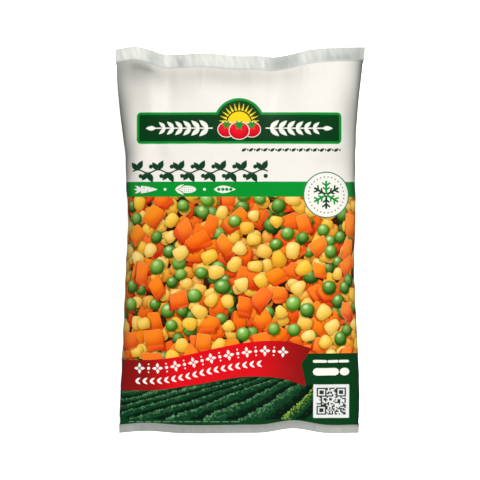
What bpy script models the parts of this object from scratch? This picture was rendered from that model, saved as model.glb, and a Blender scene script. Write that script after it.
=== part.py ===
"""A shut pillow bag of frozen vegetables, lying on its back with the printed side up.

The film is one closed skin round the food, so the bag is one solid. +X is to the
reader's right, +Y points to the top seal and +Z up. The origin is under the middle
of the bag, on the surface that it lies on.
"""

import math

import bmesh
import bpy
import numpy as np

MM = 0.001

# The flat bag, and how far it is filled.
WAIST_WIDTH = 165.6 * MM
FRONT_RISE = 28.5 * MM
SIDE_HEIGHT = 17 * MM
WALL = 0.8 * MM

# The two sealed ends. The top one lies flat, the bottom one hangs down to the table.
TOP_SEAL = 10.4 * MM
TOP_SEAL_HEIGHT = 12.5 * MM
TOP_SEAL_TILT = -2.5 * MM
BOTTOM_SEAL = 6.4 * MM
BOTTOM_SEAL_HEIGHT = 8.5 * MM
BOTTOM_SEAL_DROP = 6 * MM

# Along the bag, as the film lies before its ends wave.
TOP_CUT = 134.2 * MM
TOP_SEAM = TOP_CUT - TOP_SEAL
BOTTOM_CUT = -141.9 * MM
BOTTOM_SEAM = BOTTOM_CUT + BOTTOM_SEAL
TOP_WAVE_REACH = 60 * MM
BOTTOM_WAVE_REACH = 34 * MM

# Half the width in plan, in mm: the seals are at full width, the food draws the rest in.
HALF_WIDTHS = (
    (-142, 87.6), (-110, 87.1), (-81, 85.7), (-52, 84.3), (-22, 83.1), (7, 82.8), (36, 83.3),
    (65, 84.0), (79, 85.4), (94, 87.0), (108, 88.6), (123, 90.2), (136, 91.0),
)

# How far the middle line of the bag lies to the right at a place along it, in mm.
SWAY = (
    (-142, -0.9), (-125, -0.4), (-80, 0.0), (-40, -0.2), (-10, 0.2), (6, 1.0), (21, 1.1),
    (38, 0.4), (64, 0.0), (80, -0.8), (108, -0.9), (123, -0.3), (136, 0.4),
)

# The bag is fullest below its middle, and rounder at the foot than at the top.
FULLEST = -22 * MM
TOP_ROUNDING = 2.3
BOTTOM_ROUNDING = 2.9
SIDE_REACH = 80 * MM
FLAT_PRESS = 9 * MM
FLAT_EASE = 1.2 * MM

# The fin seal down the middle of the back, pressed flush by the weight of the bag.
FIN_HALF_WIDTH = 5.5 * MM
FIN_RELIEF = 0.45 * MM
FIN_STEP = 0.8 * MM
FIN_TENT = 6 * MM

# Waves of the cut edges: share of the half width, then millimetres.
TOP_WAVE_ALONG = (
    (-1.0, 4.2), (-0.84, 6.0), (-0.72, 3.6), (-0.63, 1.0), (-0.50, 0.6), (-0.34, 1.4),
    (0.0, -0.6), (0.14, -0.5), (0.27, -1.5), (0.38, 0.1), (0.55, 3.7), (0.78, 5.4), (1.0, 5.8),
)
TOP_WAVE_UP = (
    (-1.0, 1.0), (-0.84, 3.6), (-0.72, 2.0), (-0.62, -2.2), (-0.48, -0.6), (-0.25, 0.8),
    (0.02, 0.0), (0.18, 0.9), (0.32, -1.8), (0.55, 2.4), (0.8, 1.2), (1.0, 2.4),
)
BOTTOM_WAVE_ALONG = (
    (-1.0, 0.1), (-0.79, 1.5), (-0.5, -0.1), (0.0, 0.0), (0.2, 0.3), (0.45, 3.4),
    (0.72, 0.0), (1.0, 0.1),
)
BOTTOM_WAVE_UP = (
    (-1.0, 0.2), (-0.75, 1.4), (-0.5, 0.1), (-0.1, 0.6), (0.2, 0.2), (0.45, 3.0),
    (0.72, 0.2), (1.0, 0.8),
)

# Soft folds of the front: from (x, y), to (x, y), half width and height, all in mm.
FOLDS = (
    ((-80, 121), (-58, 116), 7.0, -3.2),
    ((-60, 122), (-64, 88), 5.0, 1.3),
    ((-50, 120), (-50, 92), 5.5, -0.9),
    ((-36, 118), (-37, 94), 6.0, -0.8),
    ((-62, 74), (-50, 50), 5.5, -0.9),
    ((64, 76), (48, 46), 8.0, -1.0),
    ((34, 120), (24, 96), 8.0, -1.1),
    ((50, 121), (56, 92), 8.0, 0.9),
    ((80, 122), (66, 88), 6.0, -1.3),
    ((-78, -128), (-58, -98), 6.0, -1.5),
    ((-46, -132), (-40, -106), 5.5, -0.9),
    ((-8, -132), (-4, -110), 6.5, -0.8),
    ((39, -131), (34, -104), 7.0, 1.5),
    ((78, -128), (60, -98), 6.0, -1.6),
)

# The fields of the print along the bag, from the top.
STRIPE_TOP = 41 * MM
STRIPE_FOOT = 30.5 * MM
MIX_FOOT = -96 * MM

COLUMNS = 44
ROWS_IN_TOP_SEAL = 3
ROWS_IN_BOTTOM_SEAL = 3
ROWS_IN_BODY = 52
END_ROW_CROWDING = 0.5
SIDE_COLUMN_CROWDING = 0.8


def ease(share):
    """0 to 1 with a level start and end."""
    share = np.clip(share, 0, 1)
    return share * share * (3 - 2 * share)


def through(points, at):
    """The smooth curve through (place, value) points, by cubic Hermite spans."""
    places, values = np.array(points, float).T
    slopes = np.gradient(values, places)
    at = np.clip(at, places[0], places[-1])
    span = np.clip(np.searchsorted(places, at) - 1, 0, len(places) - 2)
    step = places[span + 1] - places[span]
    t = (at - places[span]) / step
    return (
        (2 * t**3 - 3 * t**2 + 1) * values[span]
        + (t**3 - 2 * t**2 + t) * step * slopes[span]
        + (3 * t**2 - 2 * t**3) * values[span + 1]
        + (t**3 - t**2) * step * slopes[span + 1]
    )


def half_width(y):
    """Half the bag's width in plan."""
    return MM * through(HALF_WIDTHS, y / MM)


def sway(y):
    """How far the middle line of the bag lies to the right at y."""
    return MM * through(SWAY, y / MM)


def swell(y, extra):
    """0 at both seams and in the seals, 1 where the bag is fullest; extra fills its ends."""
    top = np.clip((y - FULLEST) / (TOP_SEAM - FULLEST), 0, 1)
    foot = np.clip((FULLEST - y) / (FULLEST - BOTTOM_SEAM), 0, 1)
    return 1 - top ** (TOP_ROUNDING + extra) - foot ** (BOTTOM_ROUNDING + extra)


def side_height(y):
    """Height of the bag's side edges, level with the seals at the ends."""
    top = ease((TOP_SEAM - y) / SIDE_REACH)
    foot = ease((y - BOTTOM_SEAM) / SIDE_REACH)
    height = SIDE_HEIGHT + (TOP_SEAL_HEIGHT - SIDE_HEIGHT) * (1 - top)
    height = height + (BOTTOM_SEAL_HEIGHT - SIDE_HEIGHT) * (1 - foot)
    height = height + TOP_SEAL_TILT * np.clip((y - TOP_SEAM) / TOP_SEAL, 0, 1)
    return height - BOTTOM_SEAL_DROP * np.clip((BOTTOM_SEAM - y) / BOTTOM_SEAL, 0, 1) ** 1.2


def end_share(y):
    """How far the waves of the top and the bottom seal reach into the bag at y."""
    top = ease(1 - (TOP_SEAM - y) / TOP_WAVE_REACH)
    foot = ease(1 - (y - BOTTOM_SEAM) / BOTTOM_WAVE_REACH)
    return top, foot


def along(across, y):
    """Where a point of the straight film lies along the bag once its ends wave."""
    top, foot = end_share(y)
    return y + MM * (
        through(TOP_WAVE_ALONG, across) * top + through(BOTTOM_WAVE_ALONG, across) * foot
    )


def end_waves(across, y):
    """How far the waves of the seals lift the film."""
    top, foot = end_share(y)
    still = 1 - 0.6 * ease((BOTTOM_SEAM - y) / BOTTOM_SEAL)
    return MM * (
        through(TOP_WAVE_UP, across) * top**2 + through(BOTTOM_WAVE_UP, across) * foot**2 * still
    )


def folds(x, y):
    """The soft folds that run into the front from its seals."""
    height = np.zeros(np.broadcast(x, y).shape)
    for start, end, width, lift in FOLDS:
        start, end = MM * np.array(start, float), MM * np.array(end, float)
        run = end - start
        share = ((x - start[0]) * run[0] + (y - start[1]) * run[1]) / (run @ run)
        off = ((x - start[0]) * run[1] - (y - start[1]) * run[0]) / math.hypot(*run)
        fade = ease((share + 0.3) / 0.5) * ease((1.3 - share) / 0.6)
        height += MM * lift * fade * np.exp(-((off / (MM * width)) ** 2))
    return height


def front(across, y):
    """The printed side: (x, y, z) at a share of the half width and a place along the film."""
    x = across * half_width(y)
    body = swell(y, 0)
    crown = (1 - np.abs(across) ** 2.4) ** 0.5
    z = side_height(y) + end_waves(across, y) + FRONT_RISE * body * crown + WALL / 2
    inside = ease((TOP_SEAM - y) / (6 * MM)) * ease((y - BOTTOM_SEAM) / (6 * MM))
    z = z + folds(x, y) * inside * ease((1 - np.abs(across)) / 0.12)
    return x + sway(y), along(across, y), z


def fin(x):
    """Lift of the film on either side of the fin seal, where it tents over the fin's edge."""
    beside = ease((np.abs(x) - FIN_HALF_WIDTH) / FIN_STEP)
    return FIN_RELIEF * beside * (1 - ease((np.abs(x) - FIN_HALF_WIDTH - FIN_STEP) / FIN_TENT))


def back(across, y):
    """The side that lies on the table, pressed flat there by the weight of the food."""
    x = across * half_width(y)
    edge = side_height(y) + end_waves(across, y) - WALL / 2
    body = swell(y, 2)
    z = edge - (SIDE_HEIGHT + FLAT_PRESS) * body * (1 - np.abs(across) ** 3) ** 0.45
    low = np.clip(z, -FLAT_EASE, FLAT_EASE)
    z = np.where(z > FLAT_EASE, z, (low + FLAT_EASE) ** 2 / (4 * FLAT_EASE))
    inside = ease((TOP_SEAM - y) / (4 * MM)) * ease((y - BOTTOM_SEAM) / (4 * MM))
    return x + sway(y), along(across, y), z + fin(x) * inside


def crowded(count, amount):
    """count + 1 stations from -1 to 1, closer together at both ends."""
    even = np.linspace(-1, 1, count + 1)
    return (1 - amount) * even + amount * np.sin(math.pi / 2 * even)


def stations_across():
    """Shares of the half width, with stations of their own at the edges of the fin."""
    waist = WAIST_WIDTH / 2
    edges = [FIN_HALF_WIDTH, FIN_HALF_WIDTH + FIN_STEP, FIN_HALF_WIDTH + FIN_STEP + FIN_TENT]
    kept = [0.0, *(sign * edge / waist for edge in edges for sign in (-1, 1))]
    spacing = 0.6 / COLUMNS
    spread = [s for s in crowded(COLUMNS, SIDE_COLUMN_CROWDING) if min(abs(s - k) for k in kept) > spacing]
    return np.array(sorted(kept + spread))


def stations_along():
    """Places along the film from the bottom cut to the top cut."""
    body = (crowded(ROWS_IN_BODY, END_ROW_CROWDING) + 1) / 2
    foot = np.linspace(BOTTOM_CUT, BOTTOM_SEAM, ROWS_IN_BOTTOM_SEAL + 1)[:-1]
    top = np.linspace(TOP_SEAM, TOP_CUT, ROWS_IN_TOP_SEAL + 1)[1:]
    return np.concatenate([foot, BOTTOM_SEAM + (TOP_SEAM - BOTTOM_SEAM) * body, top])


def film_material(name, colour, roughness):
    material = bpy.data.materials.new(name)
    material.use_nodes = True
    shader = material.node_tree.nodes["Principled BSDF"]
    shader.inputs["Base Color"].default_value = (*colour, 1.0)
    shader.inputs["Roughness"].default_value = roughness
    shader.inputs["Metallic"].default_value = 0.0
    return material


def print_field(y):
    """The material slot of a face of the front by its place along the film."""
    if y > TOP_SEAM or y < BOTTOM_SEAM:
        return 1
    if y > STRIPE_TOP:
        return 0
    if y > STRIPE_FOOT:
        return 2
    return 3 if y > MIX_FOOT else 4


def bag():
    """A grid extruded into a slab, whose two faces then take the form of the filled film."""
    across, rows = stations_across(), stations_along()
    mesh = bpy.data.meshes.new("bag")
    work = bmesh.new()
    bmesh.ops.create_grid(work, x_segments=len(across) - 1, y_segments=len(rows) - 1, size=1)
    lower = sorted(work.verts, key=lambda v: (round(v.co.y, 5), v.co.x))
    made = bmesh.ops.extrude_face_region(work, geom=list(work.faces))
    raised = [g for g in made["geom"] if isinstance(g, bmesh.types.BMVert)]
    upper = sorted(raised, key=lambda v: (round(v.co.y, 5), v.co.x))
    share, place = (grid.ravel() for grid in np.meshgrid(across, rows))
    for verts, side in ((lower, back), (upper, front)):
        for vert, point in zip(verts, np.stack(side(share, place), axis=1)):
            vert.co = point
    bmesh.ops.recalc_face_normals(work, faces=work.faces)
    for face in work.faces:
        face.material_index = print_field(face.calc_center_median().y) if face.normal.z > 0 else 0
    work.to_mesh(mesh)
    work.free()
    centre_in_plan(mesh)
    mesh.shade_smooth()
    mesh.set_sharp_from_angle(angle=math.radians(60))
    return bpy.data.objects.new("bag", mesh)


def centre_in_plan(mesh):
    """Moves the mesh so that the middle of its outline is over the origin."""
    places = np.array([v.co for v in mesh.vertices])
    middle = (places.max(axis=0) + places.min(axis=0)) / 2
    for vert in mesh.vertices:
        vert.co.x -= middle[0]
        vert.co.y -= middle[1]


def main():
    for old in list(bpy.data.objects):
        bpy.data.objects.remove(old)
    made = bag()
    for name, colour, roughness in (
        ("film_white", (0.86, 0.83, 0.78), 0.42),
        ("film_seal", (0.62, 0.63, 0.60), 0.38),
        ("print_green", (0.003, 0.30, 0.04), 0.40),
        ("print_mix", (0.85, 0.28, 0.03), 0.40),
        ("print_dark_green", (0.004, 0.05, 0.012), 0.40),
    ):
        made.data.materials.append(film_material(name, colour, roughness))
    bpy.context.scene.collection.objects.link(made)


main()
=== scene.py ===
"""The looks of a shut bag of frozen mixed vegetables, lying on its back with its print up.

The bag is one skin of printed film. The film is thought of as a flat sheet: u runs round
the bag from the middle of its front, v runs along it, both in millimetres. The print is
drawn on that sheet as outlines, the sheet is cut into triangles along them, and every
point of the sheet is then moved to its place on the filled bag.
"""

import itertools
import random
from collections import namedtuple
from math import acos, atan2, ceil, cos, dist, hypot, pi, sin, tau

import bpy
import numpy as np
from mathutils.geometry import convex_hull_2d, delaunay_2d_cdt
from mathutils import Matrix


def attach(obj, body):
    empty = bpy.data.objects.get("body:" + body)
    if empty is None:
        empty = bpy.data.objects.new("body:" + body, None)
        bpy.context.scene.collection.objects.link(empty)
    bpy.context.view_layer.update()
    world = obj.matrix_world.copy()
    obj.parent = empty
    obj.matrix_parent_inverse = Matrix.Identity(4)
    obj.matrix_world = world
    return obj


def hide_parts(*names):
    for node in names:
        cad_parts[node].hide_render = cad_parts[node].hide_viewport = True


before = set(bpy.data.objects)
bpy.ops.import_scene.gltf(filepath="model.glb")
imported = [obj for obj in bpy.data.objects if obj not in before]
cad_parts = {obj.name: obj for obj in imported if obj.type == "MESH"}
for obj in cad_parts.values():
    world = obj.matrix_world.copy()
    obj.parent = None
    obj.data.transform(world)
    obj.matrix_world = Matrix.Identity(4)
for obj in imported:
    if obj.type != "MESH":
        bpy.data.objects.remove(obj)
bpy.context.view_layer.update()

MM = 0.001

# The bag's own sizes, as in the part's source.
FRONT_RISE = 28.5 * MM
SIDE_HEIGHT = 17 * MM
FILM_GAP = 0.5 * MM
TOP_SEAL = 10.4 * MM
TOP_SEAL_HEIGHT = 12.5 * MM
TOP_SEAL_TILT = -2.5 * MM
BOTTOM_SEAL = 6.4 * MM
BOTTOM_SEAL_HEIGHT = 8.5 * MM
BOTTOM_SEAL_DROP = 6 * MM
TOP_CUT = 134.2 * MM
TOP_SEAM = TOP_CUT - TOP_SEAL
BOTTOM_CUT = -141.9 * MM
BOTTOM_SEAM = BOTTOM_CUT + BOTTOM_SEAL
TOP_WAVE_REACH = 60 * MM
BOTTOM_WAVE_REACH = 34 * MM
HALF_WIDTHS = (
    (-142, 87.6), (-110, 87.1), (-81, 85.7), (-52, 84.3), (-22, 83.1), (7, 82.8), (36, 83.3),
    (65, 84.0), (79, 85.4), (94, 87.0), (108, 88.6), (123, 90.2), (136, 91.0),
)
SWAY = (
    (-142, -0.9), (-125, -0.4), (-80, 0.0), (-40, -0.2), (-10, 0.2), (6, 1.0), (21, 1.1),
    (38, 0.4), (64, 0.0), (80, -0.8), (108, -0.9), (123, -0.3), (136, 0.4),
)
FULLEST = -22 * MM
TOP_ROUNDING = 2.3
BOTTOM_ROUNDING = 2.9
SIDE_REACH = 80 * MM
FLAT_PRESS = 9 * MM
FLAT_EASE = 1.2 * MM
FIN_HALF_WIDTH = 5.5 * MM
FIN_RELIEF = 0.45 * MM
FIN_STEP = 0.8 * MM
FIN_TENT = 6 * MM
TOP_WAVE_ALONG = (
    (-1.0, 4.2), (-0.84, 6.0), (-0.72, 3.6), (-0.63, 1.0), (-0.50, 0.6), (-0.34, 1.4),
    (0.0, -0.6), (0.14, -0.5), (0.27, -1.5), (0.38, 0.1), (0.55, 3.7), (0.78, 5.4), (1.0, 5.8),
)
TOP_WAVE_UP = (
    (-1.0, 1.0), (-0.84, 3.6), (-0.72, 2.0), (-0.62, -2.2), (-0.48, -0.6), (-0.25, 0.8),
    (0.02, 0.0), (0.18, 0.9), (0.32, -1.8), (0.55, 2.4), (0.8, 1.2), (1.0, 2.4),
)
BOTTOM_WAVE_ALONG = (
    (-1.0, 0.1), (-0.79, 1.5), (-0.5, -0.1), (0.0, 0.0), (0.2, 0.3), (0.45, 3.4),
    (0.72, 0.0), (1.0, 0.1),
)
BOTTOM_WAVE_UP = (
    (-1.0, 0.2), (-0.75, 1.4), (-0.5, 0.1), (-0.1, 0.6), (0.2, 0.2), (0.45, 3.0),
    (0.72, 0.2), (1.0, 0.8),
)
FOLDS = (
    ((-80, 121), (-58, 116), 7.0, -3.2),
    ((-60, 122), (-64, 88), 5.0, 1.3),
    ((-50, 120), (-50, 92), 5.5, -0.9),
    ((-36, 118), (-37, 94), 6.0, -0.8),
    ((-62, 74), (-50, 50), 5.5, -0.9),
    ((64, 76), (48, 46), 8.0, -1.0),
    ((34, 120), (24, 96), 8.0, -1.1),
    ((50, 121), (56, 92), 8.0, 0.9),
    ((80, 122), (66, 88), 6.0, -1.3),
    ((-78, -128), (-58, -98), 6.0, -1.5),
    ((-46, -132), (-40, -106), 5.5, -0.9),
    ((-8, -132), (-4, -110), 6.5, -0.8),
    ((39, -131), (34, -104), 7.0, 1.5),
    ((78, -128), (60, -98), 6.0, -1.6),
)

# The sheet of film, in millimetres: the side folds are at u = -91 and 91, the fin at 182.
FOLD_AT = 91.0
ROUND = 4 * FOLD_AT

# Fine relief of the film, in millimetres.
LUMP_HEIGHT = 0.16
RIB_COUNT = 216
RIB_HEIGHT = 0.018
RIB_STEP = ROUND / RIB_COUNT / 4
PUCKER_HEIGHT = 0.22

# How much of the light a patch of print sends back, for its colour in the photograph.
FILM_TONE = 0.80


def ease(share):
    """0 to 1 with a level start and end."""
    share = np.clip(share, 0, 1)
    return share * share * (3 - 2 * share)


def between(first, second, share):
    return first + (second - first) * share


def through(points, at):
    """The smooth curve through (place, value) points, by cubic Hermite spans."""
    places, values = np.array(points, float).T
    slopes = np.gradient(values, places)
    at = np.clip(at, places[0], places[-1])
    span = np.clip(np.searchsorted(places, at) - 1, 0, len(places) - 2)
    step = places[span + 1] - places[span]
    t = (at - places[span]) / step
    bend = (1 - t) * slopes[span] - t * slopes[span + 1]
    return between(values[span], values[span + 1], ease(t)) + step * t * (1 - t) * bend


def half_width(y):
    """Half the bag's width in plan."""
    return MM * through(HALF_WIDTHS, y / MM)


def sway(y):
    """How far the middle line of the bag lies to the right at y."""
    return MM * through(SWAY, y / MM)


def swell(y, extra):
    """0 at both seams and in the seals, 1 where the bag is fullest; extra fills its ends."""
    top = np.clip((y - FULLEST) / (TOP_SEAM - FULLEST), 0, 1)
    foot = np.clip((FULLEST - y) / (FULLEST - BOTTOM_SEAM), 0, 1)
    return 1 - top ** (TOP_ROUNDING + extra) - foot ** (BOTTOM_ROUNDING + extra)


def side_height(y):
    """Height of the bag's side edges, level with the seals at the ends."""
    near_top = between(TOP_SEAL_HEIGHT, SIDE_HEIGHT, ease((TOP_SEAM - y) / SIDE_REACH))
    near_foot = between(BOTTOM_SEAL_HEIGHT, SIDE_HEIGHT, ease((y - BOTTOM_SEAM) / SIDE_REACH))
    tilt = TOP_SEAL_TILT * np.clip((y - TOP_SEAM) / TOP_SEAL, 0, 1)
    drop = BOTTOM_SEAL_DROP * np.clip((BOTTOM_SEAM - y) / BOTTOM_SEAL, 0, 1) ** 1.2
    return near_top + near_foot - SIDE_HEIGHT + tilt - drop


def end_share(y):
    """How far the waves of the top and the bottom seal reach into the bag at y."""
    top = ease(1 - (TOP_SEAM - y) / TOP_WAVE_REACH)
    foot = ease(1 - (y - BOTTOM_SEAM) / BOTTOM_WAVE_REACH)
    return top, foot


def shift_along(across, y):
    """How far the waves of the ends move a point of the straight film along the bag."""
    top, foot = end_share(y)
    return MM * (through(TOP_WAVE_ALONG, across) * top + through(BOTTOM_WAVE_ALONG, across) * foot)


def end_waves(across, y):
    """How far the waves of the seals lift the film."""
    top, foot = end_share(y)
    still = 1 - 0.6 * ease((BOTTOM_SEAM - y) / BOTTOM_SEAL)
    return MM * (
        through(TOP_WAVE_UP, across) * top**2 + through(BOTTOM_WAVE_UP, across) * foot**2 * still
    )


def between_seams(y, run):
    """0 at both seams and in the seals, 1 from a short run further in."""
    return ease((TOP_SEAM - y) / run) * ease((y - BOTTOM_SEAM) / run)


def folds(x, y):
    """The soft folds that run into the front from its seals."""
    height = np.zeros(np.broadcast(x, y).shape)
    for start, end, width, lift in FOLDS:
        start, end = MM * np.array(start, float), MM * np.array(end, float)
        run = end - start
        share = ((x - start[0]) * run[0] + (y - start[1]) * run[1]) / (run @ run)
        off = ((x - start[0]) * run[1] - (y - start[1]) * run[0]) / hypot(*run)
        fade = ease((share + 0.3) / 0.5) * ease((1.3 - share) / 0.6)
        height += MM * lift * fade * np.exp(-((off / (MM * width)) ** 2))
    return height


def half_gap(across):
    """Half the distance between the two films of a seal; they meet at the side folds."""
    return FILM_GAP / 2 * (1 - np.abs(across) ** 8)


def crown(across):
    return (1 - np.abs(across) ** 2.4) ** 0.5


def keel(across):
    return (1 - np.abs(across) ** 3) ** 0.45


def front(across, y):
    """The printed side: (x, y, z) at a share of the half width and a place along the film."""
    x = across * half_width(y)
    z = side_height(y) + end_waves(across, y) + FRONT_RISE * swell(y, 0) * crown(across)
    inside = between_seams(y, 6 * MM) * ease((1 - np.abs(across)) / 0.12)
    z = z + folds(x, y) * inside + half_gap(across)
    return np.stack([x + sway(y), y + shift_along(across, y), z])


def fin(x):
    """Lift of the film beside the fin seal, where it tents over the fin's edge."""
    beside = ease((np.abs(x) - FIN_HALF_WIDTH) / FIN_STEP)
    return FIN_RELIEF * beside * (1 - ease((np.abs(x) - FIN_HALF_WIDTH - FIN_STEP) / FIN_TENT))


def back(across, y):
    """The back, pressed flat on the table by the weight of the food."""
    x = across * half_width(y)
    edge = side_height(y) + end_waves(across, y) - half_gap(across)
    z = edge - (SIDE_HEIGHT + FLAT_PRESS) * swell(y, 2) * keel(across)
    low = np.clip(z, -FLAT_EASE, FLAT_EASE)
    z = np.where(z > FLAT_EASE, z, (low + FLAT_EASE) ** 2 / (4 * FLAT_EASE))
    z = z + fin(x) * between_seams(y, 4 * MM)
    return np.stack([x + sway(y), y + shift_along(across, y), z])


class Spread:
    """Which share of the half width a share of the film's length across reaches, row by row."""

    def __init__(self, depth, profile):
        self.rows = np.linspace(BOTTOM_CUT, TOP_CUT, 121)
        self.even = np.linspace(0, 1, 241)
        self.shares = 1 - (1 - self.even) ** 3
        x = self.shares * half_width(self.rows)[:, None]
        z = depth(self.rows)[:, None] * profile(self.shares)
        steps = np.hypot(np.diff(x, axis=1), np.diff(z, axis=1))
        length = np.cumsum(np.pad(steps, ((0, 0), (1, 0))), axis=1)
        self.length = length / length[:, -1:]
        self.reach = np.array([np.interp(self.even, row, self.shares) for row in self.length])

    def _read(self, table, stations, place, y):
        row = (y - self.rows[0]) / (self.rows[1] - self.rows[0])
        column = np.interp(place, stations, np.arange(len(stations)))
        row, column = (np.clip(at, 0, size - 1.001) for at, size in zip((row, column), table.shape))
        i, j = row.astype(int), column.astype(int)
        low, high = (between(table[k, j], table[k, j + 1], column - j) for k in (i, i + 1))
        return between(low, high, row - i)

    def share_of_width(self, film_share, y):
        return self._read(self.reach, self.even, film_share, y)

    def share_of_film(self, width_share, y):
        return self._read(self.length, self.shares, width_share, y)


FRONT_SPREAD = Spread(lambda y: FRONT_RISE * swell(y, 0), crown)
BACK_SPREAD = Spread(lambda y: SIDE_HEIGHT * swell(y, 2), keel)


def bag_form(u, v):
    """(x, y, z) in metres of points of the sheet, on the smooth bag."""
    u = (u + ROUND / 2) % ROUND - ROUND / 2
    y = np.clip(v * MM, BOTTOM_CUT, TOP_CUT) + 0 * u
    side, far = np.sign(u), np.abs(u) / FOLD_AT
    ahead = FRONT_SPREAD.share_of_width(np.clip(far, 0, 1), y) * side
    behind = BACK_SPREAD.share_of_width(np.clip(2 - far, 0, 1), y) * side
    return np.where(far <= 1, front(ahead, y), back(behind, y))


def normals(form, u, v, step=0.12):
    """Outward unit normals of a form at points of the sheet."""
    low, high = BOTTOM_CUT / MM, TOP_CUT / MM
    across = form(u + step, v) - form(u - step, v)
    along = form(u, np.minimum(v + step, high)) - form(u, np.maximum(v - step, low))
    normal = np.cross(across, along, axis=0)
    return normal / np.maximum(np.linalg.norm(normal, axis=0), 1e-12)


def waves(seed, count, shortest, longest):
    """Plane waves in random directions: (a, b, c), for the sine of a * u + b * v + c turns."""
    chance = random.Random(seed)
    made = []
    for _ in range(count):
        angle, length = chance.uniform(0, pi), chance.uniform(shortest, longest)
        made.append((cos(angle) / length, sin(angle) / length, chance.uniform(0, 1)))
    return made


def gathers(parts, slant):
    """The same waves turned to run across the film, leaning by the slant."""
    return [(abs(a) + abs(b), slant * b, c) for a, b, c in parts]


LUMPS = waves(11, 14, 9, 24)
PUCKERS = gathers(waves(12, 6, 7, 19), 0.0)
STREAKS = gathers(waves(15, 9, 4, 19), 0.9)


def ripple(parts, u, v):
    """The sum of the waves at points of the sheet."""
    return sum(np.sin(tau * (a * u + b * v + c)) for a, b, c in parts) / len(parts) ** 0.5


def relief(u, v, z):
    """Height in mm of the film's lumps, puckers and seal ribs."""
    y = v * MM
    from_top, from_foot = (TOP_SEAM - y) / MM, (y - BOTTOM_SEAM) / MM
    filled = ease((from_top - 16) / 40) * ease((from_foot - 8) / 30)
    near = np.maximum(
        ease(from_top / 3) * ease(1 - from_top / 24),
        0.5 * ease(from_foot / 3) * ease(1 - from_foot / 18),
    )
    sealed = ease(-from_top / 0.6) * ease((10.4 + from_top) / 0.8) + ease(-from_foot / 0.5)
    height = (
        LUMP_HEIGHT * ripple(LUMPS, u, v) * filled
        + PUCKER_HEIGHT * ripple(PUCKERS, u, v) * near
        + RIB_HEIGHT * np.sin(tau * RIB_COUNT * u / ROUND) * sealed
    )
    return height * ease(z / (3 * MM))


def film(u, v):
    """(x, y, z) of points of the sheet, with the film's fine relief."""
    place = bag_form(u, v)
    return place + normals(bag_form, u, v) * relief(u, v, place[2]) * MM


def on_film(points):
    """Plan millimetres from the middle of the bag, as the camera sees them, to the sheet."""
    x, y = np.array(points, float).T
    v = y.copy()
    for _ in range(4):
        across = np.clip((x * MM - sway(v * MM)) / half_width(v * MM), -1, 1)
        v = y - shift_along(across, v * MM) / MM
    u = FOLD_AT * np.sign(across) * FRONT_SPREAD.share_of_film(np.abs(across), v * MM)
    return np.c_[u, v]


# One field of the print: its outline on the sheet and its ink, which is a colour or a rule.
# A pictured thing also has the rule of its round form, its depth of shade, number and gleam.
Patch = namedtuple("Patch", "outline ink form depth group gleam", defaults=(None, 0.0, 0, 0.0))
PRINT = []


def ink(red, green, blue):
    """A colour read off the photograph, 0 to 255, as the linear colour of the film."""
    value = np.array([red, green, blue]) / 255
    linear = np.where(value <= 0.04045, value / 12.92, ((value + 0.055) / 1.055) ** 2.4)
    return linear * FILM_TONE


FILM_WHITE = ink(249, 244, 235)
SEAL_GREY = ink(220, 222, 215)
# The foot seal's unprinted film, darkened with painted shade.
FOOT_SEAL_SHADE = ink(146, 149, 143)
LEAF_GREEN = ink(3, 151, 48)
DEEP_GREEN = ink(4, 60, 22)
LINE_GREEN = ink(14, 62, 34)
RED = ink(238, 8, 37)
RIBBON_RED = ink(229, 9, 24)
RIBBON_SHADE = ink(146, 17, 16)
SUN_YELLOW = ink(255, 221, 20)
GAP_BROWN = ink(70, 28, 4)
PEA_LIGHT = ink(128, 180, 72)
PEA_DARK = ink(78, 134, 42)
CORN_PALE = ink(255, 218, 122)
CORN_GOLD = ink(255, 198, 58)
CORN_HEARTS = (np.array([1.0, 0.92, 0.42]), np.array([1.0, 1.05, 1.15]))
CARROT = ink(255, 130, 18)
CARROT_EDGE = ink(255, 144, 46)
CARROT_SIDE = ink(244, 100, 20)
CARROT_SHADE = ink(212, 74, 16)
WHITE_INK = ink(252, 250, 240)


def draw(outline, *looks):
    """Lay a patch over the earlier ones; its looks follow in the order of Patch's fields."""
    PRINT.append(Patch(np.array(outline, float), *looks))


def ray(angle, reach):
    """The point at a distance from the origin in a direction."""
    return reach * np.array([cos(angle), sin(angle)])


def turned(points, angle, centre=(0, 0)):
    """Points turned about the origin, then moved to the centre."""
    return np.array(points, float) @ [ray(angle, 1), ray(angle + pi / 2, 1)] + centre


def dense(outline, step):
    """The closed outline with no side longer than the step."""
    made, outline = [], np.array(outline, float)
    for start, end in zip(outline, np.roll(outline, -1, axis=0)):
        count = max(1, ceil(dist(start, end) / step - 0.001))
        made.extend(between(start, end, k / count) for k in range(count))
    return np.array(made)


def ring(centre, radius, count=22, stretch=1.0, angle=0.0):
    turns = np.linspace(0, tau, count, endpoint=False)
    shape = np.c_[radius * stretch * np.cos(turns), radius * np.sin(turns)]
    return turned(shape, angle, centre)


def leaf(base, length, width, angle, count=6):
    """A pointed leaf that grows from its base at an angle."""
    t = np.linspace(0, 1, count + 1)
    half = width / 2 * np.sin(pi * t**0.8)
    upper = np.c_[length * t, half]
    lower = np.c_[length * t, -half][-2:0:-1]
    return turned(np.r_[upper, lower], angle, base)


def bar(start, end, width, count=4):
    """A bar with round ends from a point to a point."""
    run = np.subtract(end, start)
    cap = np.array([ray(turn, width / 2) for turn in np.linspace(-pi / 2, pi / 2, count + 1)])
    return turned(np.r_[cap + (hypot(*run), 0), -cap], atan2(*run[::-1]), start)


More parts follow.
